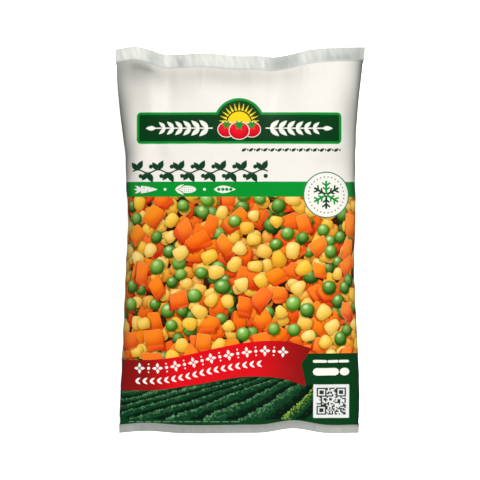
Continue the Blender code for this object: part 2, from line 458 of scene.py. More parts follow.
def panel(left, low, right, high, radius=0.0, count=4):
    """An upright rectangle, with round corners if a radius is given."""
    corners = np.array([(left, low), (right, low), (right, high), (left, high)], float)
    if radius == 0:
        return corners
    arc = [ray(turn, radius) for turn in np.linspace(0, pi / 2, count + 1)]
    inward = radius * np.sign(corners.mean(axis=0) - corners)
    return np.concatenate([
        turned(arc, (k - 2) * pi / 2, corners[k % 4] + inward[k % 4]) for k in (1, 2, 3, 4)
    ])


def round_form(centre, half_long, half_wide, angle, power=2.0, taper=0.0):
    """A rule that gives a patch's points their places on a unit disc."""

    def place(points):
        x, y = turned(points - centre, -angle).T / [[half_long], [half_wide]]
        y = y / (1 + taper * np.clip(x, -1, 1))
        size = np.hypot(x, y)
        full = (np.abs(x) ** power + np.abs(y) ** power) ** (1 / power)
        grow = np.where(size > 1e-9, full / np.maximum(size, 1e-9), 1)
        return turned(np.c_[x * grow, y * grow], angle)

    return place


PEA_RADIUS = 4.6
CORN_HALVES = (5.0, 4.4)
CORN_DEPTH = 0.62
CARROT_HALVES = (5.7, 4.9)
CARROT_DEPTH = 0.7
CARROT_RIM = 0.55


def pea(centre, size, angle, tone, chance, group):
    """A round pea, a little longer one way."""
    colour = between(PEA_DARK, PEA_LIGHT, chance.random()) * tone[1]
    stretch = chance.uniform(1.0, 1.14)
    radius = PEA_RADIUS * size
    form = round_form(centre, radius * stretch, radius, angle)
    gleam = chance.uniform(0.2, 0.5)
    draw(ring(centre, radius, 20, stretch, angle), colour, form, 1.0, group, gleam)


def corn(centre, size, angle, tone, chance, group):
    """A kernel: an uneven rounded block with a golden or a pale heart."""
    rim = between(CORN_GOLD, CORN_PALE, chance.random()) * tone
    heart = rim * CORN_HEARTS[chance.random() < 0.4]
    half_long, half_wide = CORN_HALVES[0] * size * chance.uniform(0.88, 1.2), CORN_HALVES[1] * size
    power, taper = chance.uniform(2.4, 3.4), chance.uniform(-0.34, -0.04)
    x, y = ring((0, 0), 1.0, 16).T
    reach = (np.abs(x) ** power + np.abs(y) ** power) ** (-1 / power)
    reach *= [chance.uniform(0.94, 1.05) for _ in reach]
    x, y = reach * x, reach * y
    shape = np.c_[half_long * x, half_wide * y * (1 + taper * x)]
    form = round_form(centre, half_long, half_wide, angle, power, taper)
    gleam = chance.uniform(0.05, 0.3)

    def colour(points):
        return between(heart, rim, ease(np.hypot(*form(points).T) / 0.9)[:, None])

    draw(turned(shape, angle, centre), colour, form, CORN_DEPTH, group, gleam)


def carrot(centre, size, angle, tone, chance, group):
    """A cut die of carrot: a top face with a pale edge, and the side faces below it."""
    tint = tone * np.array([1, chance.uniform(0.66, 1.08), chance.uniform(0.6, 2.4)])
    long, wide = CARROT_HALVES[0] * size * chance.uniform(0.84, 1.36), CARROT_HALVES[1] * size
    skew = chance.uniform(-1.8, 1.8)
    square = np.array([
        (-long + skew, wide), (-long - skew, -wide), (long - skew, -wide), (long + skew, wide),
    ])
    square += [[chance.uniform(-1.1, 1.1), chance.uniform(-1.1, 1.1)] for _ in range(4)]
    top = turned(square, angle, centre)
    drop = np.array([chance.uniform(-2.2, 2.2), -chance.uniform(0.9, 4.2) * size])
    whole = np.r_[top, top + drop]

    def face(outline, cut, colour, form=None, depth=CARROT_DEPTH):
        draw(dense(soft_corners(outline, cut), 3), colour * tint, form, depth, group)

    face(whole[convex_hull_2d(whole.tolist())][::-1], 1.1, CARROT_SHADE, None, 0.0)
    for start, end in zip(top, np.roll(top, -1, axis=0)):
        run = end - start
        if run[0] * drop[1] - run[1] * drop[0] < 0:
            side = np.array([start, end, end + drop, start + drop])
            level = abs(run[0]) / max(hypot(*run), 1e-9)
            face(side, 1.0, between(CARROT_SHADE, CARROT_SIDE, level), side_form(side))
    form = round_form(centre, long * 1.45, wide * 1.45, angle, 3.0)
    face(top, 0.9, CARROT_EDGE, form)
    face(between(top.mean(axis=0), top, 1 - CARROT_RIM / wide), 0.8, CARROT, form)


def soft_corners(outline, cut):
    """The outline with each corner cut off by a short side."""
    made = []
    sides = np.roll(outline, 1, axis=0), outline, np.roll(outline, -1, axis=0)
    for before, corner, after in zip(*sides):
        for run in (before - corner, after - corner):
            made.append(corner + run * min(0.35, cut / max(hypot(*run), 1e-9)))
    return np.array(made)


def side_form(corners):
    """Darker towards the lower edge of a side face."""
    high, low = corners[:2].mean(axis=0), corners[2:].mean(axis=0)
    run = low - high

    def place(points):
        share = np.clip((points - high) @ run / max(run @ run, 1e-9), 0, 1)
        return np.c_[0 * share, -0.75 * share]

    return place


def scattered(chance, box, distance, tries):
    """Random points in a box, none closer together than the distance."""
    left, low, right, high = box
    placed = []
    for _ in range(tries):
        point = (chance.uniform(left, right), chance.uniform(low, high))
        if all(dist(point, other) > distance for other in placed):
            placed.append(point)
    return placed


# The layers of the picture of vegetables from the lowest up: the least distance in mm between
# two pieces, how often a place is tried for one, and how much red, green and blue light they get.
VEG_LAYERS = (
    (7.8, 8000, 0.84, 0.52, 0.30), (8.8, 4800, 0.96, 0.84, 0.62), (10.5, 3400, 1, 1, 1),
)
VEG_SHARES = (0.28, 0.44, 0.28)


def vegetables():
    """The picture of mixed vegetables: dice, kernels and peas in three layers."""
    draw(dense(panel(-VEG_END, VEG_LOW, VEG_END, VEG_TOP), 2), GAP_BROWN)
    chance = random.Random(26)
    box = (-VEG_END - 4, VEG_LOW, VEG_END + 4, VEG_TOP + 3)
    numbers = itertools.count(1)
    for distance, tries, *tone in VEG_LAYERS:
        for centre in scattered(chance, box, distance, tries):
            kind = chance.choices((pea, corn, carrot), VEG_SHARES)[0]
            angle = chance.uniform(-pi, pi)
            size = chance.uniform(0.86, 1.14)
            kind(centre, size, angle, np.array(tone), chance, next(numbers))


STRIPE_TOP = 41.5
STRIPE_LOW = 30.6
VEG_TOP = 31.5
VEG_LOW = -98.0
VEG_END = 122.0
BLOCK_TOP = -82.8
BLOCK_LEFT = 44.4
PRINT_END = BOTTOM_SEAM / MM
PRINT_START = TOP_SEAM / MM


def belt(low, high, colour, step=2.0):
    """A field that runs all the way round the bag."""
    draw(dense(panel(-ROUND / 2, low, ROUND / 2, high), step), colour)


def fields():
    """The picture of vegetables, and the plain fields that run all the way round."""
    belt(PRINT_END, PRINT_START, GAP_BROWN)
    vegetables()
    belt(STRIPE_TOP, PRINT_START, FILM_WHITE)


def plan(outline, step=2.0):
    """An outline in plan millimetres, as the camera sees it, laid on the sheet."""
    return np.maximum(on_film(dense(outline, step)), (-ROUND, PRINT_END - 1))


def stamp(outline, colour=WHITE_INK, step=2.0):
    """Print a plain shape that is given in plan millimetres."""
    draw(plan(outline, step), colour)


def lengths(line):
    """How far along a line each of its points lies."""
    return np.r_[0, np.cumsum(np.hypot(*np.diff(line, axis=0).T))]


def curve(points, count=24):
    """A smooth line through a few points."""
    points = np.array(points, float)
    length = lengths(points)
    at = np.linspace(0, length[-1], count)
    return np.transpose([through(np.c_[length, values], at) for values in points.T])


FOOT_START = -96.0
RIBBON_TOP = (
    (-85.4, -87.6), (-67.7, -87.7), (-54.6, -86.6), (-44.6, -85.0), (-21.3, -79.8), (1.9, -75.1),
    (19.3, -73.4), (36.7, -74.5), (51.8, -79.2),
)
RIBBON_FOOT = (
    (-86.2, -110.2), (-62.0, -109.9), (-44.6, -107.6), (-21.3, -103.6), (-3.9, -100.3),
    (13.5, -99.5), (30.9, -101.2), (47.8, -106.8),
)
RIBBON_NOTCH = (44.3, -90.2)
RIBBON_LIT = (-44.0, 3.0)
RIBBON_SHADE_RUNS = (28.0, 46.0)
RIBBON_WRAP = 22.0


def ribbon_ink(points):
    """Bright in the middle of the front, in its own shade at both ends."""
    u = points[:, 0]
    left, right = RIBBON_LIT
    left_run, right_run = RIBBON_SHADE_RUNS
    shade = np.maximum(ease((left - u) / left_run), ease((u - right) / right_run))
    return between(RIBBON_RED, RIBBON_SHADE, shade[:, None])


def ribbon():
    """A red ribbon with a forked end; its other end runs on round the side of the bag."""
    top, foot = on_film(curve(RIBBON_TOP)), on_film(curve(RIBBON_FOOT))
    notch = on_film([RIBBON_NOTCH])
    far = -FOLD_AT - RIBBON_WRAP
    low, high = foot[0, 1], top[0, 1]
    wrap = [(far - 5, low - 0.5), (far, (low + high) / 2), (far - 5, high + 0.5)]
    body = np.r_[top, notch, foot[::-1], wrap]
    draw(dense(body, 2), ribbon_ink)


RIBBON_MIDDLE = (
    (-74, -98.4), (-58, -98.2), (-44, -96.0), (-22, -91.0), (0, -87.0), (16, -85.4), (30, -86.3),
)
ROW_APART = 4.7
FLOWER_STEP = 6.4
LEAF_STEP = 5.2
PETAL = (3.5, 2.2)
SLANTED_LEAF = (4.6, 1.7, 0.62)
ROW_DOTS = (1.15, 0.6, 2.9)


def stations_along(line, step):
    """Evenly spaced places on a line, each with the line's direction there."""
    length = lengths(line)
    made = []
    for at in np.linspace(0, length[-1], int(length[-1] // step) + 1):
        before, place, after = (
            np.array([np.interp(s, length, line[:, k]) for k in (0, 1)]) for s in (at - 1, at, at + 1)
        )
        made.append((place, atan2(*(after - before)[::-1])))
    return made


def ribbon_ornament():
    """White flowers and dots in turn along the ribbon, over a row of slanting leaves."""
    line = curve(RIBBON_MIDDLE, 200)
    big, small, apart = ROW_DOTS
    for k, (place, angle) in enumerate(stations_along(line + (1, ROW_APART), FLOWER_STEP)):
        if k % 2 == 0:
            for quarter in range(4):
                turn = angle + quarter * pi / 2
                stamp(leaf(place + ray(turn, 0.5), *PETAL, turn, 7))
        else:
            stamp(ring(place, big, 14))
            for side in (-1, 1):
                stamp(ring(turned([(0, side * apart)], angle, place)[0], small, 8))
    length, width, slant = SLANTED_LEAF
    for place, angle in stations_along(line[:170] + (0, -ROW_APART), LEAF_STEP):
        for side in (-1, 1):
            base = turned([(-2.2, -0.2 * side)], angle, place)[0]
            stamp(leaf(base, length, width, angle + side * slant, 7))


CROP_LIT = ink(86, 138, 90)
CROP_MID = ink(7, 59, 29)
CROP_DARK = ink(1, 23, 10)
CROP_BRIGHT = ink(138, 178, 64)

# The crests of the crop rows, in plan millimetres. Each row reaches down to the next row's
# crest, and the last line is the foot of the last row.
CROP_CRESTS = (
    ((-90, -112.0), (-75, -110.0), (-62, -107.0)),
    ((-90, -117.0), (-74, -114.6), (-58, -108.0)),
    ((-90, -122.5), (-69, -117.0), (-50, -111.6), (-31, -106.6)),
    ((-90, -128.0), (-69, -121.2), (-43, -113.9), (-17, -106.5), (4, -100.0)),
    ((-80, -131.3), (-65, -126.4), (-37, -118.2), (-17, -110.9), (5, -104.1), (17, -99.7)),
    ((-55, -131.6), (-40, -126.1), (-17, -117.4), (-2, -110.8), (12, -105.9), (26, -100.8)),
    ((-27, -131.8), (-17.5, -125.9), (5, -117.1), (16, -111.2), (26, -106.0), (35, -101.8)),
    ((0, -131.8), (7, -127.4), (19.5, -120.7), (31.5, -111.2), (43, -104.6)),
    ((29.5, -131.5), (38, -123.5), (49, -113.2), (54, -106.5)),
    ((47, -131.5), (56, -124.0), (60, -113.0), (62, -105.0)),
)
CROP_LEAVES = 190
CROP_RAGGED = 0.45


def crop_row(crest, foot, light, chance):
    """One ridge of leaves: lit along its crest, dark towards the furrow at its foot."""
    crest = crest + [[0, chance.uniform(-CROP_RAGGED, CROP_RAGGED)] for _ in crest]
    for start, end, colour in (
        (0.0, 0.12, between(CROP_MID, light, 0.25)), (0.12, 0.58, CROP_MID), (0.58, 1.0, CROP_DARK),
    ):
        stamp(np.r_[between(crest, foot, start), between(crest, foot, end)[::-1]], colour, 2.4)
    for _ in range(CROP_LEAVES):
        k = chance.randrange(len(crest) - 1)
        depth = chance.random() ** 1.8
        upper, lower = (between(line[k], line[k + 1], chance.random()) for line in (crest, foot))
        at = between(upper, lower, 0.8 * depth - 0.03)
        size = chance.uniform(0.2, 0.4) * (0.7 + dist(upper, lower) / 16)
        shape = ring(at, size, 5, chance.uniform(1.0, 1.8), chance.uniform(0, pi))
        colour = between(light, CROP_MID, min(1, 1.5 * depth))
        stamp(shape, colour * chance.uniform(0.3, 1.4))


def crop_field():
    chance = random.Random(21)
    lines = [curve(points, 30) for points in CROP_CRESTS]
    for crest, foot in zip(lines, lines[1:]):
        crop_row(crest, foot, CROP_BRIGHT if foot is lines[-1] else CROP_LIT, chance)


def foot():
    """The dark green foot, with the plain block to the right."""
    edge = ROUND / 2
    low = [(-edge, PRINT_END), (edge, PRINT_END), (edge, BLOCK_TOP)]
    block_left = on_film([(BLOCK_LEFT, BLOCK_TOP)])[0, 0]
    high = [(block_left, BLOCK_TOP), (block_left, FOOT_START), (-FOLD_AT, FOOT_START)]
    left = [(-FOLD_AT, BLOCK_TOP), (-edge, BLOCK_TOP)]
    draw(dense(low + high + left, 2), DEEP_GREEN)


CODE_BOX = (53.2, -130.4, 79.4, -105.6)
CODE_MARGIN = 2.4
CODE_CELLS = 21
CODE_EYE = 7
CODE_WHITE = ink(236, 238, 233)
CODE_DARK = ink(38, 44, 40)


def code_cells():
    """Dark cells drawn at random, which hold no data, with an eye in three corners."""
    chance = random.Random(8)
    dark = [[chance.random() < 0.5 for _ in range(CODE_CELLS)] for _ in range(CODE_CELLS)]
    last = CODE_CELLS - CODE_EYE
    for top, side in ((0, 0), (0, last), (last, 0)):
        for row, column in itertools.product(range(CODE_EYE), repeat=2):
            reach = max(abs(row - CODE_EYE // 2), abs(column - CODE_EYE // 2))
            dark[top + row][side + column] = reach != 2
    return dark


def code():
    """A white square of dark cells."""
    stamp(panel(*CODE_BOX, 0.6), CODE_WHITE)
    left, low, right, high = CODE_BOX
    wide, tall = ((size - 2 * CODE_MARGIN) / CODE_CELLS for size in (right - left, high - low))
    left, high = left + CODE_MARGIN, high - CODE_MARGIN
    for row, cells in enumerate(code_cells()):
        end = 0
        for dark, run in itertools.groupby(cells):
            start, end = end, end + len(list(run))
            if dark:
                y = high - row * tall
                stamp(panel(left + start * wide, y - tall, left + end * wide, y), CODE_DARK, 3)


BLOCK_MARKS = (
    (53.6, 62.0, -88.6, 2.0), (64.2, 70.4, -88.6, 2.0), (72.4, 78.2, -88.6, 2.0),
    (55.4, 69.0, -96.2, 5.6), (75.0, 76.6, -96.2, 5.6),
)


def block_marks():
    """White bars over the code, a thin row and a thick one."""
    for start, end, y, width in BLOCK_MARKS:
        stamp(bar((start, y), (end, y), width))


BADGE_AT = (62.3, 32.0)
BADGE_RADIUS = 16.0
BADGE_RIM = 0.8
BADGE_RIM_GREEN = ink(60, 128, 84)
BADGE_DOTS = 30
FLAKE_ARM = (1.2, 9.6)
FLAKE_BRANCHES = ((3.6, 2.6), (6.6, 3.2))


def badge():
    """A white disc with a snowflake, for frozen food, in a ring of dots."""
    stamp(ring(BADGE_AT, BADGE_RADIUS + BADGE_RIM, 48), BADGE_RIM_GREEN)
    stamp(ring(BADGE_AT, BADGE_RADIUS, 48))
    for arm in range(6):
        angle = pi / 2 + arm * pi / 3
        colour = (LEAF_GREEN, DEEP_GREEN)[arm % 2]
        stamp(bar(*(BADGE_AT + ray(angle, reach) for reach in FLAKE_ARM), 1.5), colour)
        for reach, length in FLAKE_BRANCHES:
            fork = BADGE_AT + ray(angle, reach)
            for side in (-1, 1):
                tip = fork + ray(angle + side * pi / 3.4, length)
                stamp(bar(fork, tip, 1.2), colour)
    for dot in range(BADGE_DOTS):
        stamp(ring(BADGE_AT + ray(tau * dot / BADGE_DOTS, 13.0), 0.5, 8), LINE_GREEN)


GARLAND = (-78.0, 20.0, 49.0)
GARLAND_LEAVES = 13
GARLAND_WAVE = 1.3


def garland():
    """A dark green garland of leaves and berries on a waving stem."""
    left, right, y = GARLAND
    step = (right - left) / GARLAND_LEAVES
    quarters = np.arange(4 * GARLAND_LEAVES + 1)
    wave = y + GARLAND_WAVE * np.sin(pi * quarters / 4)
    stem = np.c_[left + step * quarters / 4, wave]
    stamp(np.r_[stem - (0, 0.55), (stem + (0, 0.55))[::-1]], LINE_GREEN, 1.5)
    for k in range(GARLAND_LEAVES):
        x, side = left + step * (k + 0.5), (1, -1)[k % 2]
        for shift, *size, turn in ((0, 7.6, 4.3, 1.1), (-0.6, 6.6, 3.8, 2.2)):
            stamp(leaf((x + shift, y + GARLAND_WAVE * side), *size, side * turn, 8), LINE_GREEN)
        stamp(ring((x + 2.2, y - 3.4 * side), 1.55, 12), LINE_GREEN)


SMALL_BORDER = (1.0, 73.0, 64.6)
SMALL_BORDER_LEAVES = 14


def small_border():
    """A running border of small leaves and dots."""
    left, right, y = SMALL_BORDER
    step = (right - left) / SMALL_BORDER_LEAVES
    for k in range(SMALL_BORDER_LEAVES):
        x = left + step * (k + 0.5)
        stamp(leaf((x - 2.5, y - 1.1), 4.3, 2.1, 0.55), LINE_GREEN)
        stamp(ring((x + 1.9, y), 0.72, 8), LINE_GREEN)


BANNER = (-75.0, 69.0, 73.6, 92.0)
BANNER_EDGE = 1.8
SUN_AT = (-0.7, 84.0)
SUN_RADIUS = 8.6
SUN_RAYS = (9.5, 15.2, 0.9)
SUN_RAY_COUNT = 13
DOME_RADIUS = 18.5


def domed_panel(box, inset):
    """A panel with round corners and a dome on its upper side."""
    left, low, right, high = box
    left, low, right, high = left + inset, low + inset, right - inset, high - inset
    shape = panel(left, low, right, high, 3.0 - inset)
    radius = DOME_RADIUS - inset
    reach = acos((high - SUN_AT[1]) / radius)
    turns = np.linspace(-reach, reach, 17)
    dome = np.c_[SUN_AT[0] - radius * np.sin(turns), SUN_AT[1] + radius * np.cos(turns)]
    corner = len(shape) // 2
    return np.r_[shape[:corner], dome[::-1], shape[corner:]]


def banner():
    """A green label with a rising sun, three tomatoes and two white sprigs."""
    stamp(domed_panel(BANNER, 0), LEAF_GREEN)
    stamp(domed_panel(BANNER, BANNER_EDGE), DEEP_GREEN)
    inner, outer, half_wide = SUN_RAYS
    for k in range(SUN_RAY_COUNT):
        angle = pi * (k + 0.5) / SUN_RAY_COUNT
        base, across = SUN_AT + ray(angle, inner), ray(angle + pi / 2, half_wide)
        stamp([base - across, base + across, SUN_AT + ray(angle, outer)], SUN_YELLOW)
    stamp([SUN_AT + ray(turn, SUN_RADIUS) for turn in np.linspace(0, pi, 20)], SUN_YELLOW)
    x, y = SUN_AT
    for side in (-1, 1):
        tomato((x + side * 9.2, y - 4.6), 5.4)
        sprig((x + side * 19.5, y - 3.6), side)
    tomato((x, y - 5.4), 6.3)


TOMATO_WIDE = 1.12
SPRIG_LENGTH = 46


def tomato(at, radius):
    """A round red tomato with a green star of leaves."""
    stamp(ring(at, radius + 0.5, 26, TOMATO_WIDE))
    form = round_form(on_film([at])[0], radius * TOMATO_WIDE, radius, 0)
    draw(plan(ring(at, radius, 26, TOMATO_WIDE)), RED, form, 0.5)
    crown_at = (at[0], at[1] + radius * 0.62)
    for turn in (0.15, 1.0, 2.14, 3.0, 4.2, 5.2):
        stamp(leaf(crown_at, radius * 0.62, radius * 0.3, turn, 4), LEAF_GREEN)


def sprig(base, side):
    """A white sprig that grows sideways from its base, with leaves in pairs."""
    x, y = base
    tip = x + side * SPRIG_LENGTH
    outward = 0 if side > 0 else pi
    stamp(bar((x, y), (tip - side * 4, y), 0.9))
    stamp(leaf((tip - side * 5, y), 7.5, 3.4, outward, 7))
    for k in range(6):
        size = 8.6 - 0.45 * k
        for way in (-1, 1):
            at = (x + side * (3.0 + k * 6.2), y + way * 0.3)
            stamp(leaf(at, size, size * 0.42, outward + side * way * 0.72, 7))


ICON_Y = 35.9


def stripe_icons():
    """White pictures of a carrot, a corn cob and a pea pod, with dots between them."""
    small_carrot(-68, ICON_Y)
    small_cob(-40, ICON_Y)
    small_pod(-11, ICON_Y)
    for x in (-54.3, -25.8):
        stamp(ring((x, ICON_Y), 1.05, 12))


def small_carrot(x, y):
    t = np.linspace(0, 1, 9)
    half = 2.5 * (1 - t**1.6) + 0.25
    upper, lower = (np.c_[x - 4 + 12 * t, y + side * half] for side in (1, -1))
    stamp(np.r_[upper, lower[::-1]])
    for turn in (-0.55, 0.0, 0.55):
        stamp(leaf((x - 3.6, y), 5.6, 1.8, pi + turn, 5))
    for k, side in enumerate((1, -1, 1)):
        notch = x - 1.6 + 2.6 * k
        stamp(bar((notch, y + side * 1.9), (notch, y + side * 0.7), 0.4, 2), LEAF_GREEN)


def small_cob(x, y):
    stamp(ring((x + 1.5, y), 2.7, 22, 2.5))
    for column, row in itertools.product(range(6), (-1, 0, 1)):
        stamp(ring((x - 1.6 + column * 1.5, y + row * 1.35), 0.32, 6), LEAF_GREEN)
    for turn in (-0.5, 0.5):
        stamp(leaf((x - 7, y), 8.5, 2.6, turn, 6), LEAF_GREEN)
        stamp(leaf((x - 7, y), 7.6, 1.9, turn * 1.08, 6))


def small_pod(x, y):
    stamp(leaf((x - 8, y), 16, 5.4, 0, 14))
    for k in range(4):
        stamp(ring((x - 4.4 + 2.9 * k, y), 1.25, 12), LEAF_GREEN)


DASHES = (-81.0, 0.0, -133.2)
DASH_GREEN = ink(96, 136, 104)


def foot_dashes():
    """A faint row of short dashes along the foot of the print."""
    chance = random.Random(3)
    x, end, y = DASHES
    while x < end:
        long = chance.uniform(2.2, 7.0)
        stamp(bar((x, y), (x + long, y), 0.7, 2), DASH_GREEN)
        x += long + 1.9


BACK_PANEL = (120.0, -74.0, 171.0, 24.0)
LINE_GREY = ink(90, 120, 100)


def back_panels():
    """Pale panels of plain lines on both halves of the back."""
    near, low, far, high = BACK_PANEL
    chance = random.Random(17)
    for side in (-1, 1):
        left, right = sorted((side * near, side * far))
        draw(dense(panel(left - 1.2, low - 1.2, right + 1.2, high + 1.2, 3), 3), DEEP_GREEN)
        draw(dense(panel(left, low, right, high, 2), 3), WHITE_INK)
        draw(dense(panel(left + 3, high - 9, right - 3, high - 4, 1), 3), LEAF_GREEN)
        for line in range(20):
            y = high - 14 - 4.2 * line
            end = right - 4 - chance.choice((0, 0, 6, 16))
            draw(dense(bar((left + 4, y), (end, y), 0.9, 2), 3), LINE_GREY)


def back_fields():
    """Where the picture ends on the back: plain green on either side of the fin."""
    for side in (-1, 1):
        near, far = sorted((side * (VEG_END - 6), side * ROUND / 2))
        draw(dense(panel(near, VEG_LOW, far, STRIPE_LOW), 2.2), LEAF_GREEN)


def seals():
    """The unprinted film of the two seals, over whatever runs into them; the foot seal's is darkened
    with painted shade.
    """
    belt(BOTTOM_CUT / MM, PRINT_END, FOOT_SEAL_SHADE, RIB_STEP)
    belt(PRINT_START, TOP_CUT / MM, SEAL_GREY, RIB_STEP)


STRIPE_SHADE = ink(3, 125, 40)
STRIPE_SHADE_RUN = (5.0, 13.0)


def stripe_ink(points):
    """Green, and darker where the stripe runs over the side folds."""
    near, far = STRIPE_SHADE_RUN
    off_fold = np.abs(np.abs(points[:, 0]) - FOLD_AT)
    return between(STRIPE_SHADE, LEAF_GREEN, ease((off_fold - near) / (far - near))[:, None])


def everything():
    """All the print, from the lowest patches to the uppermost."""
    fields()
    back_fields()
    foot()
    crop_field()
    foot_dashes()
    ribbon()
    ribbon_ornament()
    block_marks()
    code()
    belt(STRIPE_LOW, STRIPE_TOP, stripe_ink)
    stripe_icons()
    badge()
    garland()
    small_border()
    banner()
    back_panels()
    seals()


def inside(points, outline):
    """Which points lie in the closed outline."""
    x, y = points[:, 0, None], points[:, 1, None]
    x0, y0 = outline[:, 0], outline[:, 1]
    x1, y1 = np.roll(x0, -1), np.roll(y0, -1)
    rises = (y0 > y) != (y1 > y)
    run = np.where(y1 == y0, 1, y1 - y0)
    return (rises & (x < (x1 - x0) * (y - y0) / run + x0)).sum(axis=1) % 2 == 1


def outline_edges():
    """The visible sides of all the outlines: points and pairs of their numbers."""
    outlines = [patch.outline for patch in PRINT]
    lows, highs = (np.array([edge(outline, 0) for outline in outlines]) for edge in (np.min, np.max))
    pairs, start = [], 0
    for number, outline in enumerate(outlines, 1):
        hidden = np.zeros(len(outline), bool)
        meets = (lows[number:] < highs[number - 1]) & (highs[number:] > lows[number - 1])
        for above in np.nonzero(meets.all(axis=1))[0]:
            under = inside(outline, outlines[number + above])
            hidden |= under & np.roll(under, -1)
        seen = np.nonzero(~hidden)[0]
        pairs.append(np.c_[seen, (seen + 1) % len(outline)] + start)
        start += len(outline)
    used, pairs = np.unique(np.concatenate(pairs), return_inverse=True)
    return np.concatenate(outlines)[used], pairs.reshape(-1, 2)


def sheet_lines(low, high, fine, fine_step):
    """Stations from low to high, a fine step apart inside the (from, to) stretches."""
    stops = sorted({low, high, *(edge for stretch in fine for edge in stretch)})
    made = []
    for start, end in zip(stops, stops[1:]):
        middle = (start + end) / 2
        near = any(a <= middle <= b for a, b in fine)
        count = max(1, round((end - start) / (fine_step if near else GRID_STEP)))
        made.extend(np.linspace(start, end, count, endpoint=False))
    return np.array([*made, high])


def crossings(columns, rows):
    """The points where the columns and rows of a grid cross."""
    return np.array([(x, y) for y in rows for x in columns])


# The grid's steps in mm: its usual one, then its fine ones across and along the sheet. It is
# fine this far from the side folds, the fin and the seals, and keeps clear of other points.
GRID_STEP = 2.4
FINE_ACROSS = 1.2
FINE_ALONG = 1.6
FINE_REACH = {"fold": 14, "fin": 13, "foot": 8, "top": 10}
CLEAR_CELL = 0.7


def grid_points(taken):
    """Points that follow the form of the bag, clear of the outlines' own points."""
    edge = ROUND / 2
    by_fold, by_fin, by_foot, by_top = FINE_REACH.values()
    folds_at = [(sign * FOLD_AT - by_fold, sign * FOLD_AT + by_fold) for sign in (-1, 1)]
    fin_at = [(-edge, -edge + by_fin), (edge - by_fin, edge)]
    columns = sheet_lines(-edge, edge, folds_at + fin_at, FINE_ACROSS)
    ends = [(PRINT_END, PRINT_END + by_foot), (PRINT_START - by_top, PRINT_START)]
    body = crossings(columns, sheet_lines(PRINT_END, PRINT_START, ends, FINE_ALONG)[1:-1])
    foot = np.linspace(BOTTOM_CUT / MM, PRINT_END, 4)
    top = np.linspace(PRINT_START, TOP_CUT / MM, 6)
    seals = crossings(np.linspace(-edge, edge, 4 * RIB_COUNT + 1), [*foot, *top])
    cells, full = np.round(taken / CLEAR_CELL), set()
    for shift in itertools.product((-1, 0, 1), repeat=2):
        full.update(map(tuple, (cells + shift).tolist()))
    near = [tuple(cell) in full for cell in np.round(body / CLEAR_CELL).tolist()]
    return np.r_[body[~np.array(near) | (np.abs(body[:, 0]) > edge - 0.1)], seals]


def shadow_rings():
    """Points just outside each pictured vegetable, where its shadow on those below ends."""
    made, groups = [], []
    for patch in PRINT:
        if patch.group:
            away = patch.outline - patch.outline.mean(axis=0)
            away *= SHADOW_REACH / np.hypot(*away.T)[:, None]
            made.append(patch.outline + away + SHADOW_SHIFT)
            groups.extend([patch.group] * len(away))
    made = np.concatenate(made)
    above = np.array([patch.group for patch in PRINT])[topmost(made)]
    made = made[(above < groups) & (above > 0)]
    cells = np.round(made / SHADOW_REACH * 2).tolist()
    return np.array(list({tuple(cell): place for cell, place in zip(cells, made)}.values()))


def topmost(centres):
    """The number of the uppermost patch over each point."""
    order = np.argsort(centres[:, 1])
    heights = centres[order, 1]
    found = np.zeros(len(centres), int)
    for number, patch in enumerate(PRINT):
        low, high = patch.outline.min(axis=0), patch.outline.max(axis=0)
        first, last = np.searchsorted(heights, (low[1], high[1]))
        near = order[first:last]
        near = near[(centres[near, 0] > low[0]) & (centres[near, 0] < high[0])]
        found[near[inside(centres[near], patch.outline)]] = number
    return found


def cut_sheet():
    """The sheet's points, its triangles, and the patch of print that each triangle shows."""
    outline_points, pairs = outline_edges()
    points = np.r_[outline_points, shadow_rings()]
    points = np.r_[points, grid_points(points)]
    made = delaunay_2d_cdt(points.tolist(), pairs.tolist(), [], 0, 0.01, False)
    points, triangles = np.array([tuple(p) for p in made[0]]), np.array(made[2])
    return points, triangles, topmost(points[triangles].mean(axis=1))


LIGHT_IN_PICTURE = (-0.22, 0.50, 0.84)
SHADOW_REACH = 1.5
SHADOW_SHIFT = (0.35, -0.8)
CONTACT_DEPTH = (0.36, 0.78)

# Soft painted shade in the dents and by the edges of the film, painted light where the strength is
# below 0: where, its reach across and along, and its strength.
FILM_SPOTS = (
    (-74, 118, 20, 9, 0.44), (-86, 114, 7, 10, -0.12), (-9, 119, 50, 8, 0.29),
    (-42, 108, 9, 9, 0.10), (-56, 61, 3.4, 8, 0.05), (70, 60, 15, 9, 0.09),
    (-73, 110, 9, 26, 0.20), (82, 86, 9, 22, 0.21), (-90, 84, 8, 26, 0.47),
    (-73, 57, 9, 10, -0.10), (-83, 61, 8, 10, 0.20), (86, 112, 7, 12, -0.14),
    (92, 36, 8, 7, 0.62), (-82, -25, 24, 62, -0.06),
)
# Painted light and shade on the crinkled top seal, in the same way: lighter where the strength is
# below 0.
SEAL_SPOTS = (
    (-80, 130, 12, 6, -0.14), (-63, 129, 5, 6, 0.25), (-54, 129, 4, 6, -0.16),
    (-43, 127, 4, 5, 0.24), (-12, 130, 26, 6, -0.12), (17, 129, 1.3, 8, -0.18),
    (30, 129, 11, 8, 0.32), (48, 130, 5, 7, -0.12), (73, 129, 17, 9, 0.10), (74, 126, 16, 3, 0.24),
    (88, 130, 9, 9, 0.26),
)
# Painted light on the foot seal, in the same way.
FOOT_SPOTS = ((76, -138, 22, 9, -0.34), (-84, -138, 6, 9, -0.2), (20, -141, 60, 3, -0.25))
# How deep the painted streaks of light and shade along the seals are.
STREAK_DEPTH = 0.065
# Shade takes a little more red than green and blue.
SHADE_TINT = np.array([1.06, 1.0, 1.01])
# Shade along the side folds, on the left and right of the front, first above the stripe and
# then below it: its reach in mm from the fold, how much light it takes there, its falloff.
FOLD_SHADES = {-1: ((21.0, 0.58, 2.0), (3.0, 0.2, 1.6)), 1: ((26.0, 1.0, 3.3), (5.0, 0.5, 1.6))}
FOLD_SHADE_BACK = (8.0, 0.5, 1.6)


